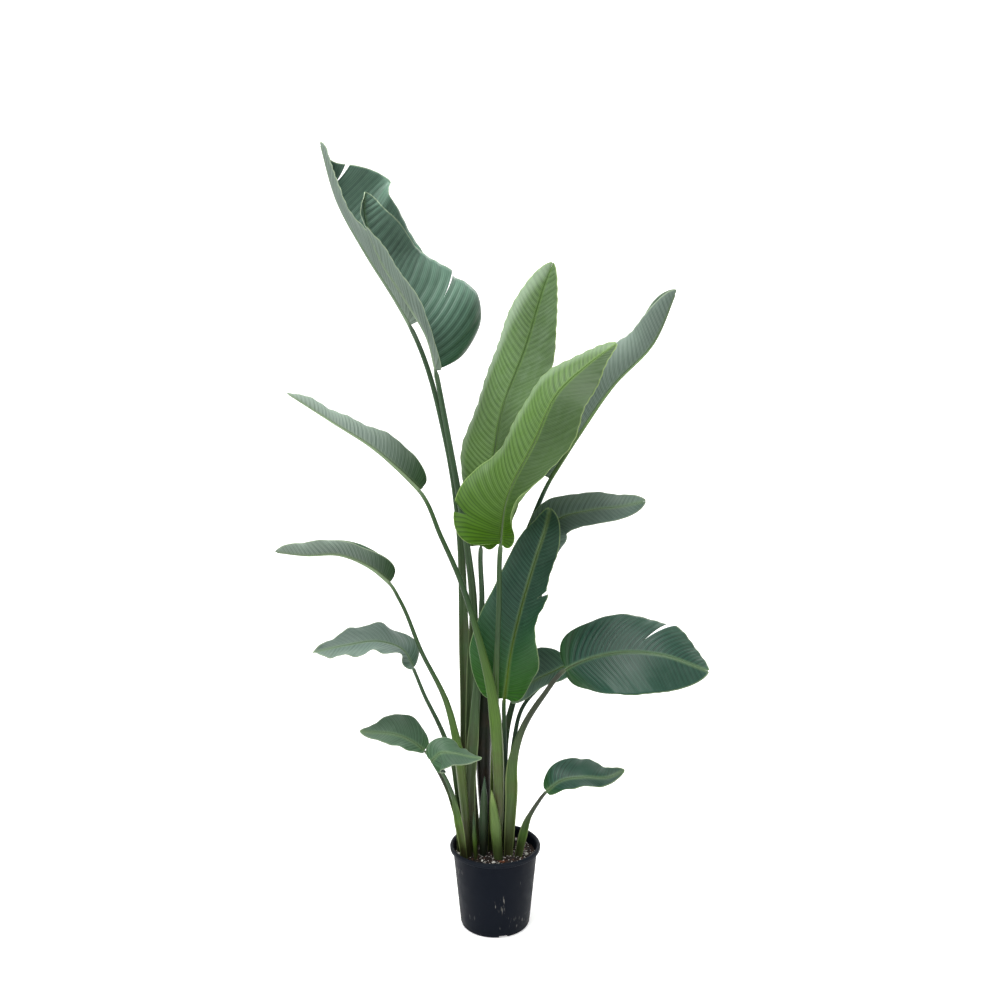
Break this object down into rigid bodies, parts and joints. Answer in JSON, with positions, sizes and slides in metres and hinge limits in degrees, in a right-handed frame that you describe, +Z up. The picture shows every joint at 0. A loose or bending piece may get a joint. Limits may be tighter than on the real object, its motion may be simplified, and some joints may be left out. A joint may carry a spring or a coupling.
{
  "type": "potted bird of paradise",
  "caption": "Tall potted bird of paradise: a fan of paddle leaves on long grooved stalks with clasping sheaths, rooted in potting mix in a black nursery pot.",
  "frame": {"origin": "centre of the pot's flat underside, on the floor", "axes": "+Z up, +Y to the back of the plant, +X to the right seen from the front"},
  "size_m": [1.1448, 0.4112, 2.1643],
  "materials": {
    "pot": "blow moulded polyethylene, blue-black, scuffed matte",
    "potting_mix": "dark bark and peat potting mix",
    "mature_leaf": "leathery leaf, dark blue-green, waxy satin above, pale below",
    "young_leaf": "young leaf, yellow-green, satin",
    "leaf_stalk": "smooth green leaf stalk and sheath, satin",
    "young_shoot": "fresh green shoot, satin",
    "dark_sheath": "dark teal sheath, satin",
    "dried_sheath": "dried papery brown sheath, matte",
    "perlite": "white expanded perlite, matte",
    "bark": "reddish bark chip, matte"
  },
  "bodies": {
    "root": {"pot": "pot", "soil": "potting_mix", "blade_tall_back": "mature_leaf", "stem_tall_back": "leaf_stalk", "blade_tall_front": "mature_leaf", "stem_tall_front": "leaf_stalk", "blade_centre_back": "young_leaf", "stem_centre_back": "leaf_stalk", "blade_centre_front": "young_leaf", "stem_centre_front": "leaf_stalk", "blade_right_rolled": "mature_leaf", "stem_right_rolled": "leaf_stalk", "blade_right_arching": "mature_leaf", "stem_right_arching": "leaf_stalk", "blade_dark_front": "mature_leaf", "stem_dark_front": "leaf_stalk", "blade_right_torn": "mature_leaf", "stem_right_torn": "leaf_stalk", "blade_right_drooping": "mature_leaf", "stem_right_drooping": "leaf_stalk", "blade_left_rolled": "mature_leaf", "stem_left_rolled": "leaf_stalk", "blade_left_arching": "mature_leaf", "stem_left_arching": "leaf_stalk", "blade_left_cupped": "mature_leaf", "stem_left_cupped": "leaf_stalk", "blade_left_small": "mature_leaf", "stem_left_small": "leaf_stalk", "blade_low_front": "mature_leaf", "stem_low_front": "leaf_stalk", "blade_right_small": "mature_leaf", "stem_right_small": "leaf_stalk", "young_spear": "young_shoot", "teal_sheath": "dark_sheath", "slim_stalk": "leaf_stalk", "dried_sheath": "dried_sheath", "perlite_left": "perlite", "perlite_middle": "perlite", "perlite_front": "perlite", "perlite_right": "perlite", "perlite_back": "perlite", "bark_front": "bark", "bark_right": "bark"}
  },
  "joints": []
}
